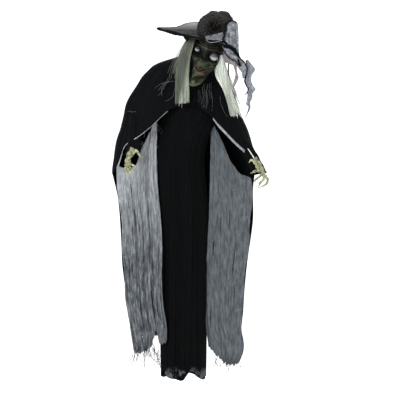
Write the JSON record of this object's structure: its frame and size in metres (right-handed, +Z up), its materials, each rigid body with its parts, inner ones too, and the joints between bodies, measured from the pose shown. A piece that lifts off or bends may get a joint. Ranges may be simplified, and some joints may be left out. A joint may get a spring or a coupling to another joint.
{
  "type": "animated witch figure",
  "caption": "Hanging witch prop with a motor-turned mask head, wide crumpled hat, posable bony arms, gathered black dress, cape and ragged grey gauze panels.",
  "frame": {"origin": "middle of the hanging eye above the shoulders", "axes": "+Z up, the face looks along -Y, the figure's own left side is at +X"},
  "size_m": [0.7757, 0.482, 1.8427],
  "materials": {
    "steel": "satin",
    "black_plastic": "matte",
    "white_acetal": "gloss",
    "cell_jacket": "gloss",
    "circuit_board": "satin",
    "mask_skin": "matte",
    "eye_lens": "gloss",
    "hair": "matte",
    "hat_tulle": "matte",
    "gauze": "matte",
    "black_cloth": "matte",
    "bone": "matte"
  },
  "bodies": {
    "torso": {"hanger_eye": "steel", "hanger_rod": "steel", "clamp_screw_left": "steel", "clamp_screw_right": "steel", "casing_screw_1": "steel", "casing_screw_2": "steel", "casing_screw_3": "steel", "casing_screw_4": "steel", "shoulder_bar": "steel", "shoulder_pin_left": "steel", "shoulder_pin_right": "steel", "gear_plate": "steel", "idler_axle": "steel", "motor": "steel", "microphone": "steel", "rod_clamp": "black_plastic", "casing_front": "black_plastic", "casing_back": "black_plastic", "battery_tray": "black_plastic", "speaker": "black_plastic", "neck_bush": "white_acetal", "battery_cell_1": "cell_jacket", "battery_cell_2": "cell_jacket", "battery_cell_3": "cell_jacket", "circuit_board": "circuit_board", "dress_front": "black_cloth", "dress_back": "black_cloth", "cloak_back": "black_cloth", "cloak_yoke": "black_cloth"},
    "head": {"neck_rod": "steel", "neck_gear": "white_acetal", "head_back": "mask_skin", "face_mask": "mask_skin", "eye_left": "eye_lens", "eye_right": "eye_lens", "hair_left": "hair", "hair_right": "hair", "hair_back": "hair", "hat_brim": "hat_tulle", "hat_crown": "hat_tulle", "hat_wrap": "gauze", "hat_ribbon": "black_cloth", "hat_streamer": "gauze"},
    "idler": {"idler_gear": "white_acetal"},
    "pinion": {"motor_pinion": "steel"},
    "battery_door": {"battery_door": "black_plastic"},
    "switch": {"switch_slide": "white_acetal"},
    "upper_arm_left": {"upper_arm_left": "steel", "elbow_pin_left": "steel", "cloak_left": "black_cloth", "panel_left": "gauze"},
    "forearm_left": {"forearm_left": "steel"},
    "hand_left": {"hand_left": "bone"},
    "upper_arm_right": {"upper_arm_right": "steel", "elbow_pin_right": "steel", "cloak_right": "black_cloth", "panel_right": "gauze"},
    "forearm_right": {"forearm_right": "steel"},
    "hand_right": {"hand_right": "bone"}
  },
  "joints": [
    {"name": "head_turn", "type": "hinge", "parent": "torso", "child": "head", "pos_m": [0, -0.12, -0.232], "axis": [0, 0, 1], "range_deg": [-25, 25]},
    {"name": "idler_spin", "type": "hinge", "parent": "torso", "child": "idler", "pos_m": [-0.03, -0.12, -0.256], "axis": [0, 0, 1], "range_deg": [-78, 78]},
    {"name": "pinion_spin", "type": "hinge", "parent": "torso", "child": "pinion", "pos_m": [-0.0525, -0.12, -0.256], "axis": [0, 0, 1], "range_deg": [-155, 155]},
    {"name": "battery_door_slide", "type": "slide", "parent": "torso", "child": "battery_door", "axis": [0, 0, -1], "range_m": [0, 0.048]},
    {"name": "switch_slide_move", "type": "slide", "parent": "torso", "child": "switch", "axis": [1, 0, 0], "range_m": [0, 0.005]},
    {"name": "shoulder_swing_left", "type": "hinge", "parent": "torso", "child": "upper_arm_left", "pos_m": [-0.175, -0.083, -0.225], "axis": [0, 0, 1], "range_deg": [-15, 15]},
    {"name": "elbow_swing_left", "type": "hinge", "parent": "upper_arm_left", "child": "forearm_left", "pos_m": [-0.3, -0.15, -0.43], "axis": [0, 0, 1], "range_deg": [-15, 15]},
    {"name": "wrist_turn_left", "type": "hinge", "parent": "forearm_left", "child": "hand_left", "pos_m": [-0.313, -0.225, -0.59], "axis": [-0.0764, -0.4407, -0.8944], "range_deg": [-40, 40]},
    {"name": "shoulder_swing_right", "type": "hinge", "parent": "torso", "child": "upper_arm_right", "pos_m": [0.15, -0.083, -0.3], "axis": [0, 0, 1], "range_deg": [-15, 15]},
    {"name": "elbow_swing_right", "type": "hinge", "parent": "upper_arm_right", "child": "forearm_right", "pos_m": [0.205, -0.15, -0.5], "axis": [0, 0, 1], "range_deg": [-15, 15]},
    {"name": "wrist_turn_right", "type": "hinge", "parent": "forearm_right", "child": "hand_right", "pos_m": [0.29, -0.225, -0.64], "axis": [0.4881, -0.4307, -0.7591], "range_deg": [-40, 40]}
  ],
  "couplings": [
    {"joint": "idler_spin", "follows": "head_turn", "ratio": -3},
    {"joint": "pinion_spin", "follows": "head_turn", "ratio": 6}
  ]
}
